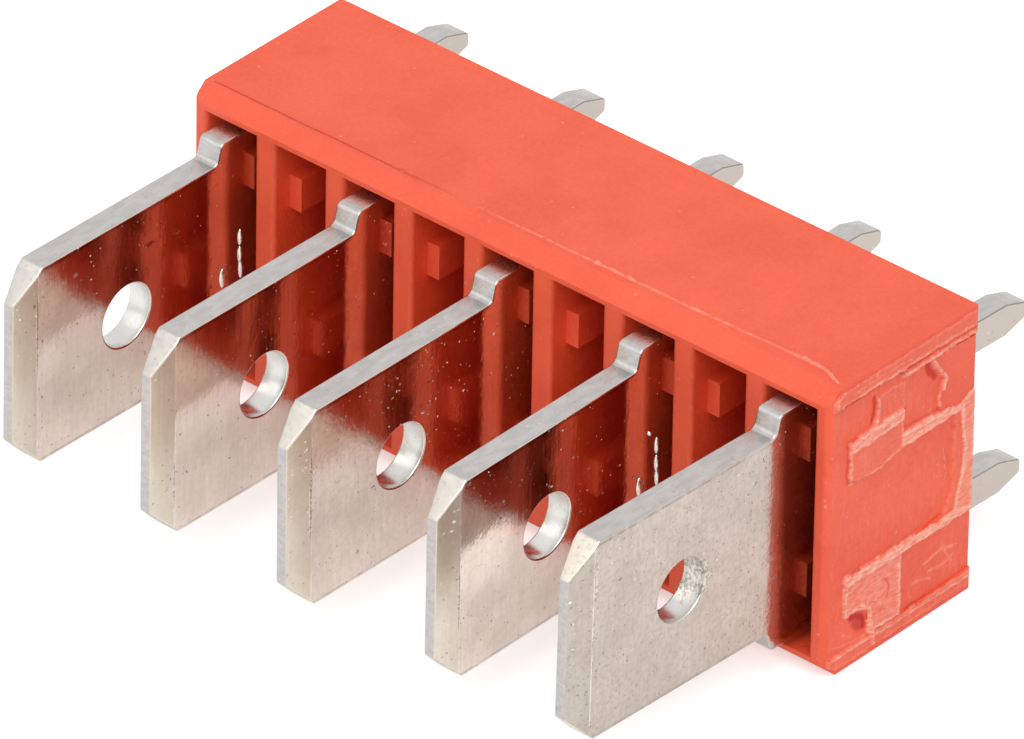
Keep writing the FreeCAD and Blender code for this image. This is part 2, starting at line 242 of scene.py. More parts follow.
def plastic_surface(s, base, dull=0.0):
    """Grain, slow waves and pale specks, which both plastics share. It is rougher at the torn end."""
    specks = s.step(s.noise(5.0, 2.0), 0.70, 0.78)
    base = s.blend(s.sum("MULTIPLY", specks, 0.45), base, PLASTIC_SPECK)
    grain = s.noise(9.0, 3.0, 0.65)
    relief = s.bump(grain, 0.9, 0.022)
    relief = s.bump(s.noise(1.6, 1.0), 0.35, 0.03, relief)
    rough_end = s.step(s.part(s.place, 0), 8.6, 11.2, 0.0, 0.9)
    relief = s.bump(s.sum("MULTIPLY", s.noise(2.6, 2.0), rough_end), 0.8, 0.07, relief)
    rough = s.sum("ADD", s.step(grain, 0.3, 0.7, 0.46, 0.64), s.sum("MULTIPLY", dull, 0.35))
    return s.finish(base_color=base, roughness=rough, specular=PLASTIC_GLOSS, normal=relief)


def make_plastic():
    """Matte moulded plastic, with shade painted into the hollows as a deeper colour."""
    s = Shader("moulded_plastic")
    base = mottled_plastic(s, 2.0)
    x, y, z = (s.part(s.place, axis) for axis in range(3))
    # Painted shade: the colour deepens further inside the hollows.
    hollow_shade = s.sum("MULTIPLY", s.step(y, -5.4, -3.6), s.step(y, -0.3, -0.2, 1.0, 0.0))
    for value, half in ((x, HOLLOW_HALF_LONG), (z, HOLLOW_HALF_TALL)):
        within = s.step(s.sum("ABSOLUTE", value), half, half + 0.1, 1.0, 0.0)
        hollow_shade = s.sum("MULTIPLY", hollow_shade, within)
    return plastic_surface(s, s.blend(hollow_shade, base, PLASTIC_HOLLOW_SHADE))


def make_torn_plastic():
    """The same plastic where it tore: whitened by the strain, with shade painted deep red into the pits."""
    s = Shader("torn_plastic")
    base = mottled_plastic(s, 3.0)
    white = s.add("ShaderNodeAttribute", attribute_name="white").outputs["Fac"]
    streaks = s.noise(1.0, 4.0, 0.65, s.stretched(6, 3, 14))
    white = s.sum("MULTIPLY", white, s.step(streaks, 0.3, 0.62, 0.2, 1.0))
    fibres = s.noise(1.0, 4.0, 0.7, s.stretched(5, 9, 1.3))
    white = s.sum("ADD", white, s.step(fibres, 0.46, 0.72, 0.0, 0.09))
    base = s.blend(white, base, PLASTIC_WHITENED)
    # Painted shade: the pits and crevices turn deep red, and duller.
    pit_shade = s.add("ShaderNodeAttribute", attribute_name="pit_shade").outputs["Fac"]
    base = s.blend(pit_shade, base, PLASTIC_SHADED)
    return plastic_surface(s, base, pit_shade)


# Tin

# These five are multiplied by each blade's shade, painted light that makes blades 1 to 4 lighter and blade 5
# darker.
FACE_DEEP = (0.560, 0.488, 0.430)
FACE_PALE = (0.650, 0.578, 0.520)
FACE_ROLLED = (0.49, 0.43, 0.375)
FACE_UNEVEN = (0.40, 0.37, 0.31)
TIP_OLIVE = (0.47, 0.44, 0.335)
PINS = rgb(0.535, 0.48, 0.425)
# Painted shade along the pins' rounded corners.
PIN_CORNER_SHADE = rgb(0.17, 0.15, 0.13)
# Painted highlight along the crease.
CREASE_HIGHLIGHT = rgb(0.92, 0.90, 0.84)
# Painted dark reflection along the long edges.
EDGE_DARK_REFLECTION = rgb(0.26, 0.20, 0.18)
SHEARED_DEEP = rgb(0.50, 0.475, 0.46)
SHEARED_PALE = rgb(0.585, 0.555, 0.54)
WALL_DEEP = rgb(0.66, 0.645, 0.62)
WALL_PALE = rgb(0.78, 0.765, 0.74)
# Painted light for the tip's cut corners.
CUT_CORNER_LIGHT = rgb(0.76, 0.69, 0.585)
DUST = rgb(0.95, 0.92, 0.89)
WORN = rgb(0.33, 0.29, 0.24)
PIT = rgb(0.10, 0.08, 0.06)
CRUST_DEEP = rgb(0.30, 0.28, 0.215)
CRUST_PALE = rgb(0.80, 0.78, 0.70)
BARED_DEEP = rgb(0.86, 0.85, 0.82)
BARED_PALE = rgb(0.97, 0.96, 0.94)

LARGE_CELLS = 3.5  # cells to a millimetre, for the larger and the finer dots
FINE_CELLS = 7.2


def shaded(colour, shade):
    """A linear colour times a blade's painted light."""
    return rgb(*(value * shade for value in colour))


def make_tin(name, shade, haze, dust, pits, scuffs_and_corner_light, stain, patches):
    """Tin over brass sheet: mirror-like faces with fine marks, and duller sheared edges.

    shade is painted light: it makes the faces of blades 1 to 4 lighter and those of blade 5 darker,
    for the different light that their faces reflect. haze is how dull, and stain how olive the tip is.
    dust, pits and scuffs_and_corner_light are amounts; the last also sets how much light is painted on
    the tip's cut corners. Each patch is a crusted place: y, z, half length, half height.
    """
    s = Shader(name, "upright_place")
    normal = s.coordinates.outputs["Normal"]
    across = s.sum("ABSOLUTE", s.part(normal, 0))
    face = s.step(across, 0.6, 0.9)
    rim = s.step(face, 0.0, 1.0, 1.0, 0.0)
    corner = s.band(across, 0.62, 0.2)
    along = s.part(s.place, 1)
    height = s.part(s.place, 2)
    off_middle = s.sum("ABSOLUTE", height)
    pins = s.step(along, -4.0, -1.0)
    hole_wall = s.sum("MULTIPLY", rim, s.step(s.reach(HOLE_Y, 0.0), 1.0, 1.1, 1.0, 0.0))
    patchy = s.noise(2.4, 2.0)
    mottled = s.noise(7.0, 2.0)

    # Faces: slow clouds, and fine marks that run across the blade. A painted highlight runs along the crease,
    # and a painted dark reflection along the long edges.
    cloud = s.step(s.noise(0.8, 3.0, 0.6), 0.3, 0.7)
    rolled = s.noise(1.0, 3.0, 0.65, s.stretched(11, 11, 0.8))
    sheared = s.noise(1.0, 2.0, 0.6, s.stretched(4, 1.6, 8))
    tone = s.blend(cloud, shaded(FACE_DEEP, shade), shaded(FACE_PALE, shade))
    tone = s.blend(s.step(rolled, 0.3, 0.7, 0.0, 0.35), tone, shaded(FACE_ROLLED, shade))
    uneven = s.sum("MULTIPLY", s.step(mottled, 0.42, 0.66), 0.10 + 0.22 * scuffs_and_corner_light)
    tone = s.blend(uneven, tone, shaded(FACE_UNEVEN, shade))
    tone = s.blend(s.step(along, TIP + 0.74, TIP + 0.80, stain, 0.0), tone, shaded(TIP_OLIVE, shade))
    tone = s.blend(pins, tone, PINS)
    # Painted highlight along the crease at the tip.
    crease_highlight = s.sum("MULTIPLY", s.band(along, CREASE, 0.018), s.step(patchy, 0.4, 0.6, 0.1, 0.75))
    tone = s.blend(crease_highlight, tone, CREASE_HIGHLIGHT)
    # Painted dark reflection: a thin line just inside the long edges, out in front of the housing.
    edge_reflection = s.sum("MULTIPLY", s.band(off_middle, 3.045, 0.04), s.step(along, -7.3, -7.15, 1.0, 0.0))
    edge_reflection = s.sum("MULTIPLY", edge_reflection, s.step(patchy, 0.35, 0.6, 0.3, 1.0))
    edge_reflection = s.sum("MULTIPLY", edge_reflection, s.step(height, -1.0, 1.0, 0.35, 0.6))
    tone = s.blend(edge_reflection, tone, EDGE_DARK_REFLECTION)

    # Sheared edges and the hole's wall, painted light on the cut corners of the tip, and painted shade along
    # the pins' rounded corners.
    edge = s.blend(s.step(sheared, 0.3, 0.7), SHEARED_DEEP, SHEARED_PALE)
    edge = s.blend(hole_wall, edge, s.blend(cloud, WALL_DEEP, WALL_PALE))
    slanted = s.sum("MINIMUM", *(s.sum("ABSOLUTE", s.part(normal, axis)) for axis in (1, 2)))
    # Painted light: the tip's cut corners are lighter, most on blade 5, broken up by the mottling.
    cut = s.sum("MULTIPLY", s.step(slanted, 0.25, 0.45), s.step(along, TIP + 1.9, TIP + 2.0, 1.0, 0.0))
    cut = s.sum("MULTIPLY", cut, s.step(mottled, 0.3, 0.5, 0.45, 1.0))
    edge = s.blend(s.sum("MULTIPLY", cut, min(1.0, 0.1 + 0.85 * scuffs_and_corner_light)), edge, CUT_CORNER_LIGHT)
    base = s.blend(face, edge, tone)
    # Painted shade along the rounded corners of the pins.
    base = s.blend(s.sum("MULTIPLY", corner, s.sum("MULTIPLY", pins, 0.7)), base, PIN_CORNER_SHADE)

    # Bright dust and thin scratches, mostly high on the faces.
    high = s.step(height, -1.2, 0.6)
    bright = s.sum("MAXIMUM", s.dots(LARGE_CELLS, 0.20, 0.965 - 0.08 * dust, 0),
                   s.dots(FINE_CELLS, 0.25, 0.96 - 0.16 * dust, 0))
    cluster = s.step(s.noise(0.7, 2.0), 0.48 - 0.12 * dust, 0.60 - 0.08 * dust)
    bright = s.sum("MULTIPLY", bright, s.sum("MULTIPLY", high, cluster))
    bright = s.sum("MULTIPLY", bright, s.step(face, 0.5, 1.0, 0.06, 1.0))
    scratch = s.noise(1.0, 2.0, 0.5, s.stretched(5, 1.3, 24, 0.45))
    scratch = s.sum("MULTIPLY", s.step(scratch, 0.69, 0.75), s.step(s.noise(1.1, 1.0), 0.5, 0.6))
    base = s.blend(s.sum("MAXIMUM", bright, s.sum("MULTIPLY", scratch, 0.5)), base, DUST)
    matte = s.sum("MAXIMUM", s.sum("MULTIPLY", bright, 0.8), s.sum("MULTIPLY", scratch, 0.22))

    # Dark pits, thickest beside the crease near the tip, and worn spots.
    beside = s.sum("MULTIPLY", s.band(along, TIP + 0.84, 0.16), 0.10)
    dark = s.dots(LARGE_CELLS, 0.16, s.sum("SUBTRACT", 0.985 - 0.025 * pits, beside), 1)
    fine = s.dots(FINE_CELLS, 0.26, s.sum("SUBTRACT", 0.97 - 0.085 * pits, beside), 1)
    dark = s.sum("MAXIMUM", dark, s.sum("MULTIPLY", fine, 0.6))
    dark = s.sum("MULTIPLY", dark, s.step(pins, 0.0, 0.5, 1.0, 0.0))
    dark = s.sum("MULTIPLY", dark, s.step(face, 0.0, 1.0, 0.25, 1.0))
    scuffed = s.noise(3.4, 4.0, 0.7)
    worn = s.step(scuffed, 0.64 - 0.05 * scuffs_and_corner_light, 0.73)
    base = s.blend(s.sum("MULTIPLY", worn, 0.4), base, WORN)
    base = s.blend(s.sum("MULTIPLY", dark, 0.75), base, PIT)

    # Crusted places, with a ragged outline. near is a plainer outline for their relief.
    crust = s.noise(10.0, 2.0, 0.6)
    shaken = s.sum("MULTIPLY", s.sum("SUBTRACT", scuffed, 0.5), 2.2)
    crusted, near = 0.0, 0.0
    for y, z, half_y, half_z in patches:
        reach = s.reach(y, z, half_y, half_z)
        crusted = s.sum("MAXIMUM", crusted, s.step(s.sum("ADD", reach, shaken), 0.55, 0.95, 1.0, 0.0))
        near = s.sum("MAXIMUM", near, s.step(reach, 0.6, 1.1, 1.0, 0.0))
    grit = s.blend(s.step(crust, 0.38, 0.62), CRUST_DEEP, CRUST_PALE)
    base = s.blend(s.sum("MULTIPLY", crusted, s.step(crust, 0.44, 0.54, 0.75, 0.5)), base, grit)

    # Dullness adds up from the rolled marks, the rims, the tip, worn spots, dust and pits.
    rough = s.step(rolled, 0.2, 0.8, haze - 0.03, haze + 0.05)
    rough = s.sum("ADD", rough, s.sum("MULTIPLY", rim, 0.16))
    rough = s.sum("ADD", rough, s.step(along, TIP + 0.74, TIP + 0.80, 0.22, 0.0))
    rough = s.sum("ADD", rough, s.sum("MULTIPLY", worn, 0.22))
    rough = s.sum("ADD", rough, s.sum("MULTIPLY", s.sum("MAXIMUM", bright, dark), 0.35))
    relief = s.bump(rolled, 0.24, 0.004)
    relief = s.bump(s.noise(1.0, 1.0), 0.35, 0.020, relief)
    relief = s.bump(mottled, 0.12 + 0.3 * scuffs_and_corner_light, 0.006, relief)
    relief = s.bump(s.sum("MULTIPLY", sheared, s.sum("SUBTRACT", rim, hole_wall)), 0.35, 0.018, relief)
    relief = s.bump(s.sum("MULTIPLY", crust, near), 0.7, 0.025, relief)
    return s.finish(base_color=base, metallic=s.sum("SUBTRACT", 1.0, matte), roughness=rough, normal=relief)


def make_bared():
    """Tin rubbed bright."""
    s = Shader("bared_tin")
    grain = s.noise(9.0, 3.0)
    base = s.blend(s.step(grain, 0.3, 0.7), BARED_DEEP, BARED_PALE)
    return s.finish(base_color=base, metallic=1.0, roughness=s.step(grain, 0.3, 0.7, 0.2, 0.36),
                    normal=s.bump(grain, 0.4, 0.006))


# For each blade: shade, haze, dust, pits, scuffs_and_corner_light, stain, patches. shade is
# painted light, lighter for blades 1 to 4 and darker for blade 5.
TINS = [
    (1.36, 0.09, 0.60, 1.2, 0.3, 0.40,
     [(-9.8, 1.9, 0.20, 0.07), (-8.7, 1.8, 0.16, 0.07), (-14.29, 0.9, 0.03, 1.3)]),
    (1.40, 0.08, 0.55, 0.9, 0.2, 0.35, [(-14.29, -1.6, 0.03, 0.9)]),
    (1.40, 0.09, 1.80, 1.1, 0.5, 0.40, [(-14.29, 0.4, 0.05, 1.6), (-12.4, -2.3, 0.09, 0.12)]),
    (1.44, 0.08, 0.75, 1.0, 0.4, 0.30, [(-14.30, -0.6, 0.03, 1.0)]),
    (0.95, 0.13, 0.60, 2.8, 1.1, 0.12,
     [(-10.05, 0.1, 0.66, 1.0), (-14.16, 1.9, 0.10, 1.0), (-14.22, -0.2, 0.07, 0.9),
      (-11.9, -0.9, 0.10, 0.18)]),
]

plastic = make_plastic()
torn_plastic = make_torn_plastic()
tins = [make_tin(f"tin_{number}", *values) for number, values in enumerate(TINS, 1)]
bared = make_bared()


# Housing

SOFT_EDGE = 0.045  # width of the rounding along the housing's edges

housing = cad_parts["housing"]
housing.data.materials.clear()
housing.data.materials.append(plastic)
weld = housing.modifiers.new("weld", "WELD")
weld.merge_threshold = SAME_PLACE * MM
soft = housing.modifiers.new("soft_edges", "BEVEL")
soft.width = SOFT_EDGE * MM
soft.segments = 2
soft.limit_method = "ANGLE"
soft.angle_limit = math.radians(40)
housing.modifiers.new("even_shading", "WEIGHTED_NORMAL").keep_sharp = True


# Torn end

# The end face as pairs (y, z). Each region is: height, whiteness inside, whiteness at its edge, outline.
TORN_REGIONS = [
    (0.085, 0.06, 0.20, [(-5.94, 4.05), (-3.0, 3.95), (-2.9, 3.75), (0.0, 3.72), (0.0, 4.5), (-5.94, 4.5)]),
    (0.03, 0.06, 0.18, [(-4.1, 2.7), (-2.95, 2.7), (-2.95, 3.55), (-3.5, 3.7), (-4.1, 3.6)]),
    (0.080, 0.12, 0.65, [(-5.28, 2.65), (-3.05, 2.75), (-3.0, 1.5), (-3.95, 1.25), (-5.28, 1.3)]),
    (0.120, 0.62, 0.70, [(-5.28, 2.70), (-3.05, 2.78), (-3.05, 2.4), (-4.0, 2.35), (-5.2, 2.35)]),
    (0.110, 0.70, 0.70, [(-3.1, 1.95), (-2.0, 1.9), (-1.2, 1.85), (-0.6, 1.7), (-0.65, 1.5), (-3.1, 1.5)]),
    (0.066, 0.05, 0.12, [(-0.86, 1.6), (0.02, 1.7), (0.02, -1.9), (-1.6, -1.8), (-1.15, -1.5),
                         (-0.88, -1.0)]),
    (0.090, 0.50, 0.70, [(-0.62, 1.75), (-0.05, 2.0), (0.02, 1.6), (-0.02, -1.9), (-0.8, -1.8),
                         (-0.74, -1.3), (-0.5, -0.6), (-0.42, 0.2), (-0.55, 1.0)]),
    (0.110, 0.75, 0.75, [(-5.3, -1.60), (-4.0, -1.66), (-0.1, -1.70), (-0.1, -1.98), (-5.3, -1.95)]),
    (0.085, 0.42, 0.85, [(-5.34, -1.75), (-2.98, -1.9), (-2.98, -3.95), (-4.3, -3.95), (-4.32, -3.6),
                         (-4.3, -3.1), (-4.9, -2.92), (-5.34, -2.95)]),
    (0.085, 0.08, 0.30, [(-5.94, -4.02), (-3.0, -3.98), (0.02, -3.98), (0.02, -4.46), (-5.94, -4.46)]),
]
# Each ridge is: height, half width, whiteness, line.
TORN_RIDGES = [
    (0.14, 0.06, 0.85, [(-4.14, 3.6), (-4.10, 3.2), (-4.22, 2.75)]),
    (0.16, 0.08, 0.95, [(-1.85, 3.65), (-1.6, 3.3), (-1.32, 2.9), (-1.42, 2.6)]),
    (0.08, 0.05, 0.70, [(-1.42, 2.6), (-1.5, 2.2), (-1.48, 1.95)]),
    (0.06, 0.04, 0.55, [(-1.85, 2.2), (-1.88, 1.95)]),
    (0.05, 0.03, 0.35, [(-1.28, 0.6), (-1.15, 0.1), (-1.12, -0.5)]),
    (0.16, 0.09, 0.90, [(-4.6, -2.85), (-4.28, -3.1), (-4.18, -3.55), (-4.1, -4.3)]),
    (0.14, 0.06, 0.85, [(-4.15, -2.85), (-3.7, -3.3), (-3.5, -3.6)]),
    (0.12, 0.05, 0.85, [(-5.15, -2.7), (-4.95, -2.85), (-4.6, -2.8)]),
    (0.095, 0.035, 0.55, [(-2.95, -2.0), (-2.97, -3.0), (-2.95, -3.95)]),
    (0.11, 0.050, 0.70, [(-5.9, 4.02), (-4.4, 4.10), (-3.0, 4.05), (-1.5, 4.06), (-0.1, 4.02)]),
    (0.10, 0.030, 0.45, [(-5.2, 4.25), (-4.0, 4.28), (-2.8, 4.22)]),
    (0.15, 0.050, 0.90, [(-3.1, 3.80), (-1.6, 3.83), (-0.1, 3.86)]),
    (0.12, 0.045, 0.85, [(-5.8, -4.08), (-4.4, -4.07), (-3.2, -4.12), (-1.6, -4.13), (0.0, -4.13)]),
    (0.10, 0.060, 0.80, [(-5.55, 4.46), (-5.78, 4.3), (-5.84, 4.05)]),
    (0.01, 0.05, 0.45, [(-1.9, -2.9), (-1.2, -2.75), (-0.7, -2.9)]),
    (0.01, 0.05, 0.40, [(-1.7, -3.2), (-1.1, -3.3), (-0.7, -3.2)]),
    (0.01, 0.05, 0.35, [(-1.2, -2.6), (-0.75, -3.35)]),
    (0.01, 0.05, 0.35, [(-2.4, -3.3), (-1.9, -3.35), (-1.6, -3.5)]),
    (0.01, 0.04, 0.35, [(-5.7, -3.75), (-5.0, -3.9), (-4.3, -3.95)]),
    (0.01, 0.04, 0.35, [(-5.3, -3.5), (-4.9, -3.75)]),
]
# Each pit sinks the skin a little and gets shade painted deep red into it: half width, depth of colour, line.
TORN_PITS = [
    (0.12, 1.0, [(-4.95, -3.1), (-4.65, -3.2), (-4.47, -3.4), (-4.45, -3.6)]),
    (0.16, 0.75, [(-4.78, -3.36), (-4.62, -3.55)]),
    (0.10, 0.9, [(-2.04, 3.6), (-1.92, 3.35), (-1.72, 3.1)]),
    (0.06, 0.8, [(-4.27, 3.65), (-4.24, 3.3), (-4.34, 2.9)]),
    (0.035, 0.85, [(-5.8, 3.93), (-4.4, 3.96), (-3.0, 3.95)]),
    (0.030, 0.85, [(-3.0, 3.98), (-1.5, 3.96), (-0.1, 3.97)]),
    (0.035, 0.8, [(-2.7, -3.94), (-1.8, -3.95)]),
    (0.035, 0.6, [(-5.05, -1.62), (-4.7, -1.64)]),
    (0.025, 0.5, [(-3.0, 2.05), (-2.0, 2.0), (-1.3, 1.95)]),
    (0.020, 0.5, [(-0.06, 3.2), (-0.05, 2.1)]),
    (0.028, 0.6, [(-5.3, 2.6), (-5.3, 1.4), (-4.0, 1.2)]),
    (0.025, 0.4, [(-5.3, -1.9), (-5.3, -2.8)]),
    (0.03, 0.5, [(-3.6, -2.5), (-3.45, -2.8), (-3.5, -3.1)]),
]


def distance_to_line(y, z, line):
    """Distance from each point to a broken line."""
    best = np.full(y.shape, np.inf)
    for (y0, z0), (y1, z1) in zip(line, line[1:]):
        dy, dz = y1 - y0, z1 - z0
        share = np.clip(((y - y0) * dy + (z - z0) * dz) / (dy * dy + dz * dz), 0, 1)
        best = np.minimum(best, np.hypot(y - y0 - share * dy, z - z0 - share * dz))
    return best


def inside_outline(y, z, outline):
    """Which points lie inside a closed outline."""
    inside = np.zeros(y.shape, bool)
    for (y0, z0), (y1, z1) in zip(outline, outline[1:] + outline[:1]):
        if z0 == z1:
            continue
        crosses = ((z0 > z) != (z1 > z)) & (y < (y1 - y0) * (z - z0) / (z1 - z0) + y0)
        inside ^= crosses
    return inside


def soft_step(value, low, high):
    """0 below low, 1 above high, smooth between."""
    share = np.clip((value - low) / (high - low), 0, 1)
    return share * share * (3 - 2 * share)


def rough_field(y, z, scale, seed, octaves=3):
    """Smooth noise from about -1 to 1 at each point."""
    values = [noise.fractal(Vector((a * scale, b * scale, seed)), 0.9, 2.1, octaves)
              for a, b in zip(y.ravel(), z.ravel())]
    return np.array(values).reshape(y.shape)


SKIN_STEP = 0.036  # size of the skin's cells
SKIN_FRONT = -5.965  # y of its front edge
SKIN_HALF = 4.55  # half its height, away from the housing's bevelled corners
SKIN_BEVEL = 4.13  # half its height at the open front, and how fast that grows behind it
SKIN_SLOPE = 0.9167
SKIN_ROOT = 0.06  # how deep its closed back lies in the housing
SKIN_SUNK = 0.02  # how deep its rim lies in the housing


def ragged(y, z, seed):
    """Shifts that make an outline ragged, coarsely and finely."""
    return 0.045 * rough_field(y, z, 3.2, seed) + 0.02 * rough_field(y, z, 11.0, seed + 1.0, 2)


def make_torn_end():
    """A skin over the end face: torn roots, bars, lips and ridges with ragged, whitened edges."""
    ys = np.arange(SKIN_FRONT, 0.001, SKIN_STEP)
    zs = np.arange(-SKIN_HALF, SKIN_HALF + 0.001, SKIN_STEP)
    y, z = np.meshgrid(ys, zs, indexing="ij")
    limit = np.minimum(SKIN_HALF, SKIN_BEVEL + (y - FRONT) * SKIN_SLOPE)
    z = z * limit / SKIN_HALF
    ragged_y = y + ragged(y, z, 1.0)
    ragged_z = z + ragged(y, z, 5.0)
    coarse = rough_field(y, z, 5.0, 9.0)
    fine = rough_field(y, z, 16.0, 12.0, 2)

    height = np.full(y.shape, 0.006)
    white = np.zeros(y.shape)
    for rise, fill, rim, outline in TORN_REGIONS:
        away = distance_to_line(ragged_y, ragged_z, outline + outline[:1])
        signed = np.where(inside_outline(ragged_y, ragged_z, outline), away, -away)
        cover = soft_step(signed, -0.03, 0.035)
        edge = cover * (1 - soft_step(signed, 0.02, 0.16))
        lift = rise * (0.85 + 0.15 * soft_step(y, -5.95, -5.3))
        height = np.maximum(height, cover * (lift + 0.016 * coarse + 0.012 * fine + 0.02 * edge))
        white = np.maximum(white, cover * (fill + 0.25 * fill * coarse) + edge * rim)
    for rise, half, pale, line in TORN_RIDGES:
        away = distance_to_line(ragged_y, ragged_z, line)
        crest = 1 - soft_step(away, 0.0, half * 1.6)
        height = np.maximum(height, crest * (rise + 0.03 * coarse))
        white = np.maximum(white, crest * pale * (1 + 0.3 * fine))
    # Shade is painted into the pits as well as sinking the skin.
    pit_shade = np.zeros(y.shape)
    for half, depth, line in TORN_PITS:
        away = distance_to_line(ragged_y, ragged_z, line)
        pit_shade = np.maximum(pit_shade, depth * (1 - soft_step(away, half * 0.4, half * 1.5)))
    height = np.where(pit_shade > 0.05, height * (1 - 0.85 * pit_shade), height)
    height = np.maximum(height, 0.004)
    inner_y = soft_step(y, SKIN_FRONT, SKIN_FRONT + 0.07) * (1 - soft_step(y, -0.05, 0.0))
    inner = inner_y * (1 - soft_step(np.abs(z) / limit, 0.98, 1.0))
    height = height * inner - SKIN_SUNK * (1 - inner)

    rows, columns = y.shape
    build = bmesh.new()
    top = [build.verts.new(Vector((END_FACE + h, a, b)) * MM)
           for h, a, b in zip(height.ravel(), y.ravel(), z.ravel())]
    for i in range(rows - 1):
        for j in range(columns - 1):
            k = i * columns + j
            build.faces.new((top[k], top[k + columns], top[k + columns + 1], top[k + 1]))
    ring = ([i * columns for i in range(rows)]
            + [(rows - 1) * columns + j for j in range(1, columns)]
            + [i * columns + columns - 1 for i in range(rows - 2, -1, -1)]
            + list(range(columns - 2, 0, -1)))
    back = [build.verts.new(Vector((END_FACE - SKIN_ROOT, y.flat[k], z.flat[k])) * MM) for k in ring]
    for k, low in enumerate(back):
        build.faces.new((top[ring[k - 1]], top[ring[k]], low, back[k - 1]))
    build.faces.new(back)
    bmesh.ops.recalc_face_normals(build, faces=build.faces)
    mesh = finished_mesh(build, "torn_end")
    store(mesh, "white", white.ravel())
    store(mesh, "pit_shade", pit_shade.ravel())
    mesh.shade_smooth()
    add_piece(mesh, torn_plastic)


make_torn_end()


# Flash lines


def make_flash(name, xs, foot, out, side, rises, halves, whites, painted_shades):
    """A thin ragged line of flash along X, as a closed sliver that is rooted in the housing.

    foot gives y and z under the crest, out is the way it rises, and side is the way it is wide.
    """
    build = bmesh.new()
    rings = []
    white, dark = [], []
    out, side = Vector(out), Vector(side)
    for x, (y, z), rise, half, pale, deep in zip(xs, foot, rises, halves, whites, painted_shades):
        middle = Vector((x, y, z))
        rings.append([build.verts.new((middle + side * a * half + out * b) * MM) for a, b in
                      ((-1, -0.03), (-1, -0.004), (0.2, rise), (1, -0.004), (1, -0.03))])
        white += [0.0, 0.3 * pale, pale, 0.2 * pale, 0.0]
        # dark is shade painted into the line, kept with the pits' painted shade.
        dark += [0.0, 0.8 * deep, deep, 0.6 * deep, 0.0]
    for one, two in zip(rings, rings[1:]):
        for k in range(5):
            build.faces.new((one[k], one[(k + 1) % 5], two[(k + 1) % 5], two[k]))
    build.faces.new(rings[0][::-1])
    build.faces.new(rings[-1])
    bmesh.ops.recalc_face_normals(build, faces=build.faces)
    mesh = finished_mesh(build, name)
    store(mesh, "white", white)
    store(mesh, "pit_shade", dark)
    mesh.shade_smooth()
    add_piece(mesh, torn_plastic)


# Where the flash line on top stands out most: x, half length, height.
TOP_BURRS = [(-4.3, 0.12, 0.07), (-3.9, 0.06, 0.05), (2.6, 0.15, 0.05), (3.2, 0.35, 0.04),
             (3.75, 0.12, 0.06), (6.1, 0.2, 0.04), (9.9, 0.5, 0.06), (10.9, 0.3, 0.06)]
# The same for the upper edge of the opening.
EDGE_BURRS = [(-9.9, 0.15, 0.05), (-8.6, 0.3, 0.03), (1.0, 0.12, 0.05), (1.5, 0.1, 0.05),
              (5.0, 0.1, 0.06), (7.6, 0.2, 0.04)]
# The way of the line on top: x, y.
TOP_PATH = [(-11.3, -5.52), (-5.0, -5.47), (0.0, -5.4), (6.0, -5.32), (8.5, -5.2), (10.4, -5.2),
            (11.25, -5.5)]
TOP_ENDS = (-11.30, 11.22)
EDGE_ENDS = (-10.70, 10.70)
FLASH_PARTS = 420


def burrs(x, places):
    """Height of the burrs at x."""
    return sum(tall * math.exp(-((x - at) / half) ** 2) for at, half, tall in places)


def spaced(ends):
    """Places along a flash line."""
    first, last = ends
    return [first + (last - first) * i / FLASH_PARTS for i in range(FLASH_PARTS + 1)]


def faded(xs, ends, reach):
    """1 along the line, and down to 0 over the reach at each end."""
    return [min(1.0, min(x - ends[0], ends[1] - x) / reach) for x in xs]


def wavering(xs, scale, across, seed, rough):
    """Noise from about -1 to 1 along a line."""
    return [noise.fractal(Vector((x * scale, across, seed)), rough, 2.0, 3) for x in xs]


def make_flash_lines():
    """One flash line along the front of the top face, and one along the opening's upper edge."""
    xs = spaced(TOP_ENDS)
    wander = wavering(xs, 0.55, 3.0, 1.0, 1.0)
    jag = wavering(xs, 6.0, 8.0, 1.0, 0.9)
    fade = faded(xs, TOP_ENDS, 0.4)
    right = [float(soft_step(x, -6.0, 0.5)) for x in xs]
    path = np.interp(xs, *zip(*TOP_PATH))
    rises = [max(0.006, 0.014 + r * (0.018 + 0.016 * j) + burrs(x, TOP_BURRS) * (1 + 0.5 * j)) * f
             - 0.01 * (1 - f) for x, r, j, f in zip(xs, right, jag, fade)]
    # On the left, where the line lies flatter, the last list paints deep red shade into it.
    make_flash("flash_top", xs, [(y + 0.03 * w, HALF_TALL) for y, w in zip(path, wander)],
               (0, 0, 1), (0, 1, 0), rises,
               [0.045 + 0.015 * r + 0.3 * max(rise - 0.05, 0) for r, rise in zip(right, rises)],
               [r * (0.35 + 0.3 * j) + 7 * burrs(x, TOP_BURRS) for x, r, j in zip(xs, right, jag)],
               [0.75 * (1 - r) for r in right])

    xs = spaced(EDGE_ENDS)
    jag = wavering(xs, 5.0, 2.0, 6.0, 0.9)
    fade = faded(xs, EDGE_ENDS, 0.2)
    rises = [(max(0.0, 0.010 + 0.022 * j) + burrs(x, EDGE_BURRS)) * f - 0.01 * (1 - f)
             for x, j, f in zip(xs, jag, fade)]
    make_flash("flash_edge", xs, [(FRONT + 0.06, OPENING_TOP)] * len(xs), (0, 0, -1), (0, 1, 0), rises,
               [0.03] * len(xs), [0.35 + 0.4 * j + 6 * burrs(x, EDGE_BURRS) for x, j in zip(xs, jag)],
               [0.0] * len(xs))


make_flash_lines()


# Blades

# Small leans in degrees, as the photo shows the loose blades: about Z, then about X.
LEANS = [(-0.39, -0.65), (-0.34, -0.53), (-0.74, 0.06), (0.60, -0.41), (-1.10, -1.06)]
SEAT = -2.0  # y of the point that a blade leans about
HALF_THICK = 0.4
ROLLED_EDGE = 0.06  # width of the rounding along a blade's edges
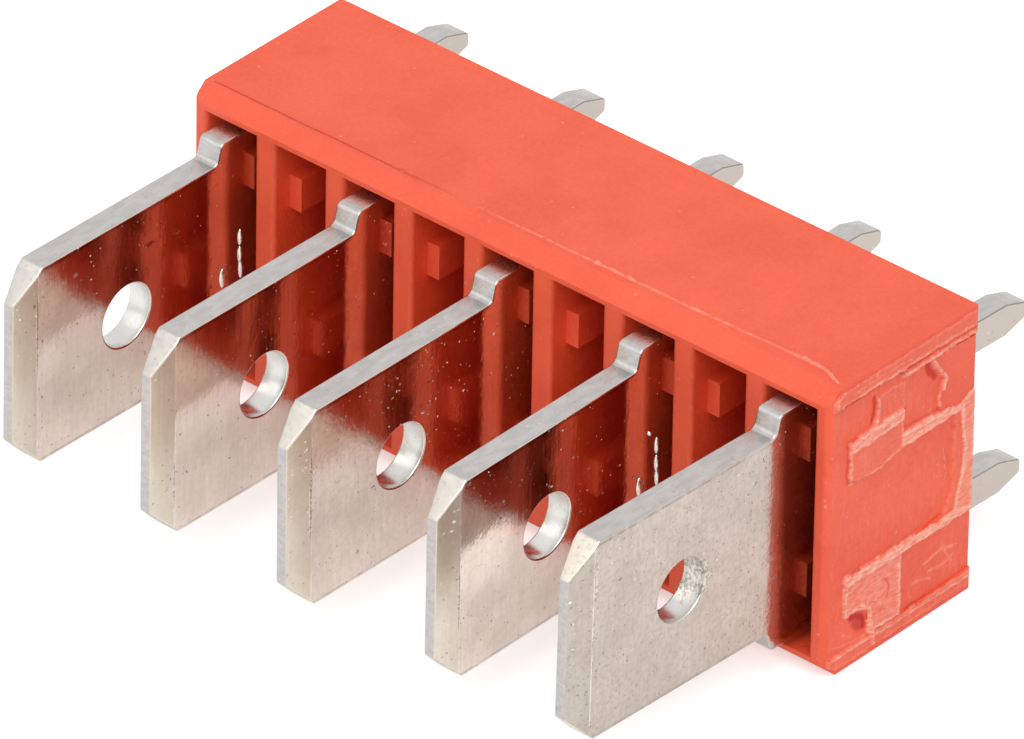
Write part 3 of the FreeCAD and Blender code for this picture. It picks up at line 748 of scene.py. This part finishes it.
# Edges are smooth up to these angles in degrees: those that run through the sheet, and the others.
SMOOTH_THROUGH = 35
SMOOTH_OTHER = 8
ROUNDED_FROM = 20
# Bright rubbed ridges on the right faces: y and z of both ends, half width.
RUBBED = {
    1: [(-6.12, 0.61, -6.12, 0.22, 0.075), (-6.12, 0.06, -6.12, -0.34, 0.07),
        (-6.08, -0.38, -6.06, -0.87, 0.085), (-6.80, -0.42, -6.78, -0.80, 0.14)],
    4: [(-6.16, 0.56, -6.16, 0.17, 0.075), (-6.15, 0.00, -6.15, -0.40, 0.07),
        (-6.11, -0.44, -6.10, -0.91, 0.085), (-6.83, -0.47, -6.81, -0.85, 0.14),
        (-6.50, 0.94, -6.48, 0.88, 0.05)],
}


def middle_of(number):
    """x of a blade's middle."""
    return (number - 3) * PITCH


def add_rubbed(build, number):
    """Lens-shaped ridges, half sunk in the blade's right face."""
    for y0, z0, y1, z1, half in RUBBED.get(number, ()):
        middle = Vector((middle_of(number) + HALF_THICK - 0.012, (y0 + y1) / 2, (z0 + z1) / 2)) * MM
        reach = math.hypot(y1 - y0, z1 - z0) / 2 + half
        tilt = Matrix.Rotation(math.atan2(y0 - y1, z1 - z0), 4, "X")
        size = Matrix.Diagonal((0.09 * MM, half * MM, reach * MM, 1))
        made = bmesh.ops.create_icosphere(build, subdivisions=3, radius=1.0,
                                          matrix=Matrix.Translation(middle) @ tilt @ size)
        for face in {face for vertex in made["verts"] for face in vertex.link_faces}:
            face.material_index = 1


def make_blade(number):
    """The blade with rolled edges, leaning a little in its seat."""
    node = f"tab_{number}"
    build = bmesh.new()
    build.from_mesh(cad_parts[node].data)
    bmesh.ops.remove_doubles(build, verts=build.verts, dist=SAME_PLACE * MM)
    bmesh.ops.dissolve_limit(build, angle_limit=math.radians(1), verts=build.verts, edges=build.edges)
    for edge in build.edges:
        start, end = (vertex.co for vertex in edge.verts)
        through = abs(start.x - end.x) > 0.9 * (start - end).length
        edge.smooth = edge.calc_face_angle(0) < math.radians(SMOOTH_THROUGH if through else SMOOTH_OTHER)
    sharp = [edge for edge in build.edges if edge.calc_face_angle(0) > math.radians(ROUNDED_FROM)]
    for edge in sharp:
        edge.smooth = True
    bmesh.ops.bevel(build, geom=sharp, offset=ROLLED_EDGE * MM, segments=3, profile=0.5,
                    affect="EDGES", clamp_overlap=True)
    add_rubbed(build, number)
    upright = [vertex.co / MM for vertex in build.verts]
    turn, dip = (math.radians(angle) for angle in LEANS[number - 1])
    pivot = Vector((middle_of(number), SEAT, 0)) * MM
    lean = Matrix.Rotation(turn, 4, "Z") @ Matrix.Rotation(dip, 4, "X")
    bmesh.ops.transform(build, matrix=Matrix.Translation(pivot) @ lean @ Matrix.Translation(-pivot),
                        verts=build.verts)
    for face in build.faces:
        face.smooth = True
    mesh = finished_mesh(build, f"blade_{number}")
    # Where each vertex was before the lean, for the material's textures.
    kept = mesh.attributes.new("upright_place", "FLOAT_VECTOR", "POINT")
    kept.data.foreach_set("vector", np.array(upright).ravel())
    blade = add_piece(mesh, tins[number - 1])
    mesh.materials.append(bared)
    blade.modifiers.new("even_shading", "WEIGHTED_NORMAL").keep_sharp = True
    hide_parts(node)


for number in range(1, BLADES + 1):
    make_blade(number)


# Floor, light and camera. Their places and sizes are in metres.

FLOOR_HALF = 3.0
FLOOR_GAP = 0.02 * MM  # between the object and the floor
FLOOR_SHOWN = 0.47  # light that the floor adds where the camera sees it, and in reflections
FLOOR_MIRRORED = 0.29
WORLD_LIGHT = 0.75  # the world's strength as a light, and where it is seen
WORLD_SHOWN = 1.0
KEY = ((0.231, -0.2475, 0.4345), 0.5, 1.6)  # place, size and watts
FILL = ((-0.30, -0.38, 0.34), 0.4, 0.2)
CAMERA_PLACE = (0.245112, -0.29297, 0.250315)
CAMERA_ANGLES = (56.4779, -0.8176, 41.0255)
CAMERA_LENS = 587.43


def make_floor():
    """A wide pale floor that keeps the object's shadow and shows white to the camera."""
    build = bmesh.new()
    bmesh.ops.create_grid(build, x_segments=1, y_segments=1, size=FLOOR_HALF)
    mesh = finished_mesh(build, "floor")
    floor = bpy.data.objects.new("floor", mesh)
    floor.location.z = -HALF_TALL * MM - FLOOR_GAP
    bpy.context.scene.collection.objects.link(floor)
    s = Shader("floor")
    seen = s.add("ShaderNodeLightPath").outputs
    shown = s.sum("MAXIMUM", seen["Is Camera Ray"], seen["Is Transmission Ray"])
    shown = s.sum("MULTIPLY", shown, FLOOR_SHOWN)
    shown = s.sum("MAXIMUM", shown, s.sum("MULTIPLY", seen["Is Glossy Ray"], FLOOR_MIRRORED))
    cloud = s.step(s.noise(0.02, 2.0), 0.3, 0.7)
    base = s.blend(cloud, rgb(0.80, 0.80, 0.80), rgb(0.82, 0.82, 0.82))
    s.give(s.surface.inputs["Emission Color"], rgb(1, 1, 1))
    s.give(s.surface.inputs["Emission Strength"], shown)
    mesh.materials.append(s.finish(base_color=base, roughness=0.9, specular=0.0))


def make_world():
    """Even studio light, shown as white wherever it is seen directly or in a reflection."""
    world = bpy.data.worlds.new("studio")
    world.use_nodes = True
    bpy.context.scene.world = world
    background = world.node_tree.nodes["Background"].inputs
    background["Color"].default_value = rgb(1.0, 1.0, 1.0)
    nodes = Nodes(world.node_tree)
    seen = nodes.add("ShaderNodeLightPath").outputs
    shown = nodes.sum("MAXIMUM", seen["Is Camera Ray"], seen["Is Glossy Ray"])
    shown = nodes.sum("MAXIMUM", shown, seen["Is Transmission Ray"])
    strength = nodes.add("ShaderNodeMapRange", shown, 0.0, 1.0, WORLD_LIGHT, WORLD_SHOWN).outputs[0]
    nodes.give(background["Strength"], strength)


def make_lamp(name, place, size, watts):
    """A soft square lamp that looks at the object."""
    data = bpy.data.lights.new(name, "AREA")
    data.size = size
    data.energy = watts
    lamp = bpy.data.objects.new(name, data)
    lamp.location = place
    lamp.rotation_mode = "QUATERNION"
    lamp.rotation_quaternion = Vector(place).to_track_quat("Z", "Y")
    bpy.context.scene.collection.objects.link(lamp)


def make_camera():
    """The photo's view, fitted to its edges."""
    data = bpy.data.cameras.new("camera")
    data.sensor_width = 36.0
    data.lens = CAMERA_LENS
    data.clip_start = 0.01
    data.clip_end = 10.0
    camera = bpy.data.objects.new("camera", data)
    camera.location = CAMERA_PLACE
    camera.rotation_euler = [math.radians(angle) for angle in CAMERA_ANGLES]
    bpy.context.scene.collection.objects.link(camera)
    bpy.context.scene.camera = camera


make_floor()
make_world()
make_lamp("key", *KEY)
make_lamp("fill", *FILL)
make_camera()
bpy.context.scene.view_settings.view_transform = "Standard"
